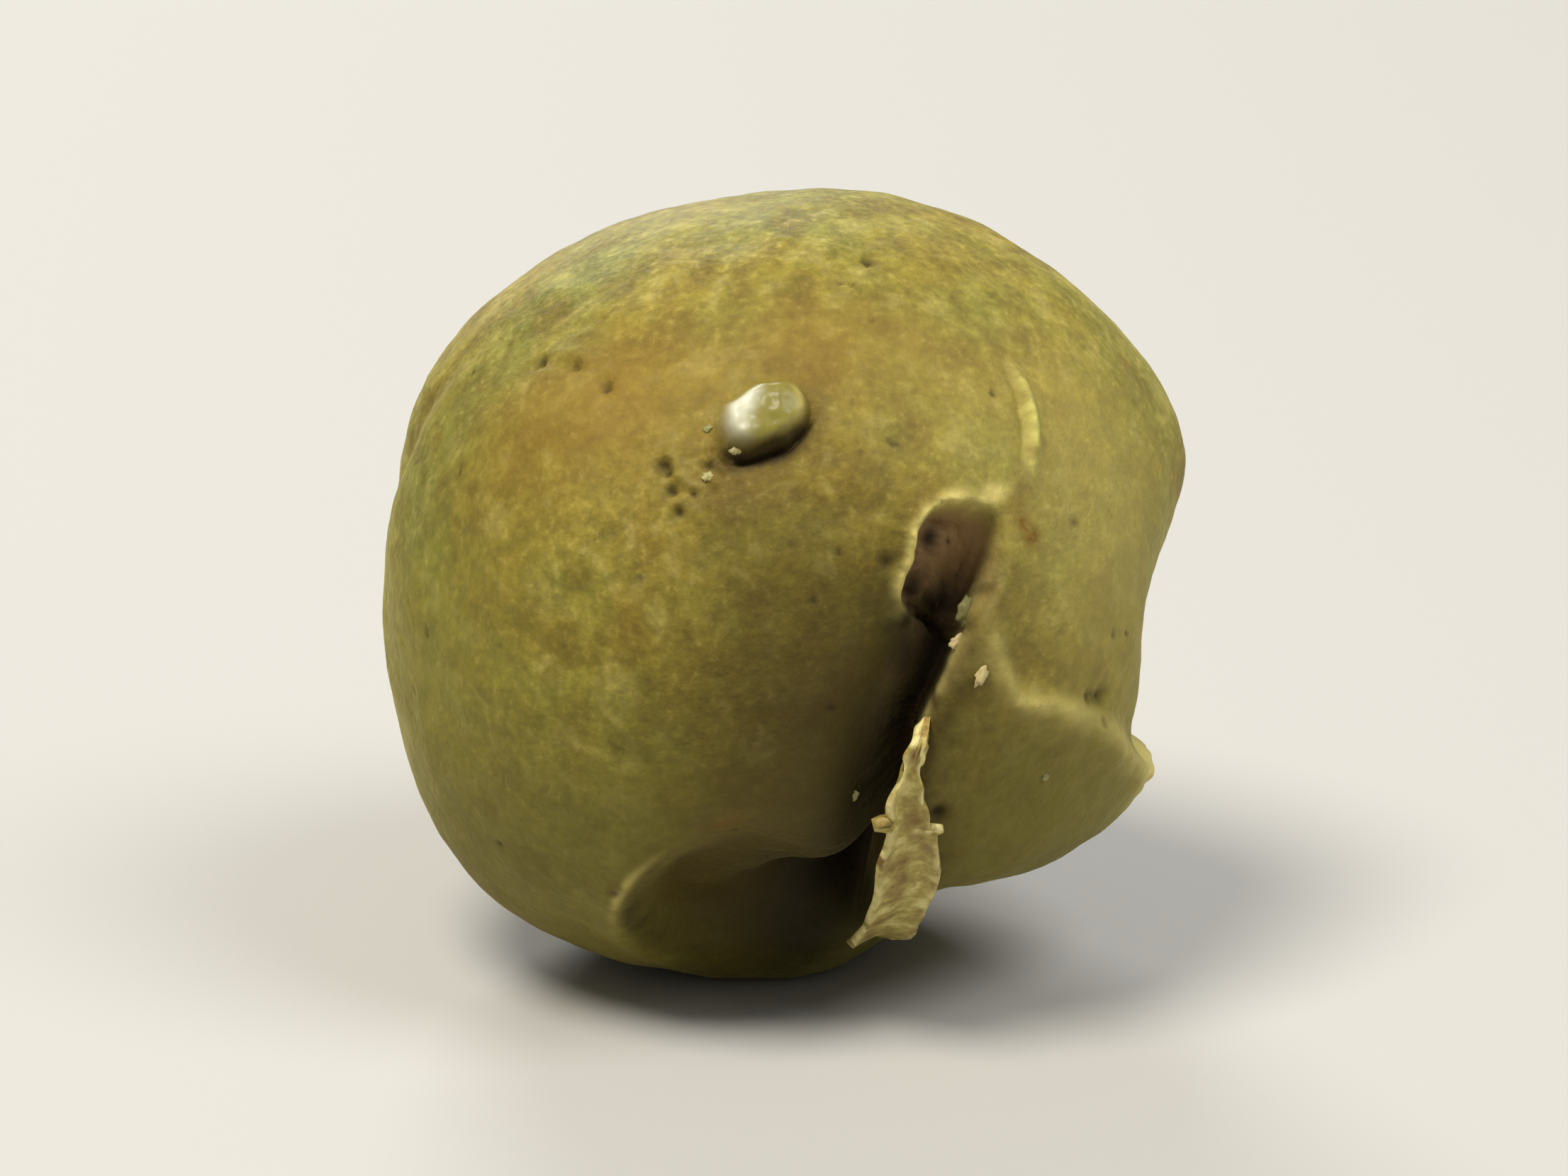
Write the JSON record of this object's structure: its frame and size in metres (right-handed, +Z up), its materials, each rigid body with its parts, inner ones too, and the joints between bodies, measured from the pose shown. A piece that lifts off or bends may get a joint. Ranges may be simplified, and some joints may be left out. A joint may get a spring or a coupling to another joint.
{
  "type": "green peppercorn",
  "caption": "Round dried pepper berry with a style nub, a split with a peeled strip of skin, a pointed fold, a stalk scar and a small flat spot to rest on.",
  "frame": {"origin": "centre of the berry's bounding box in plan, on the surface it rests on", "axes": "+Z up from the flat spot, -Y towards the side with the style nub and the split, +X towards the right lobe"},
  "size_m": [0.0056, 0.0054, 0.0054],
  "materials": {
    "dried_skin": "matte"
  },
  "bodies": {
    "root": {"peppercorn": "dried_skin"}
  },
  "joints": []
}
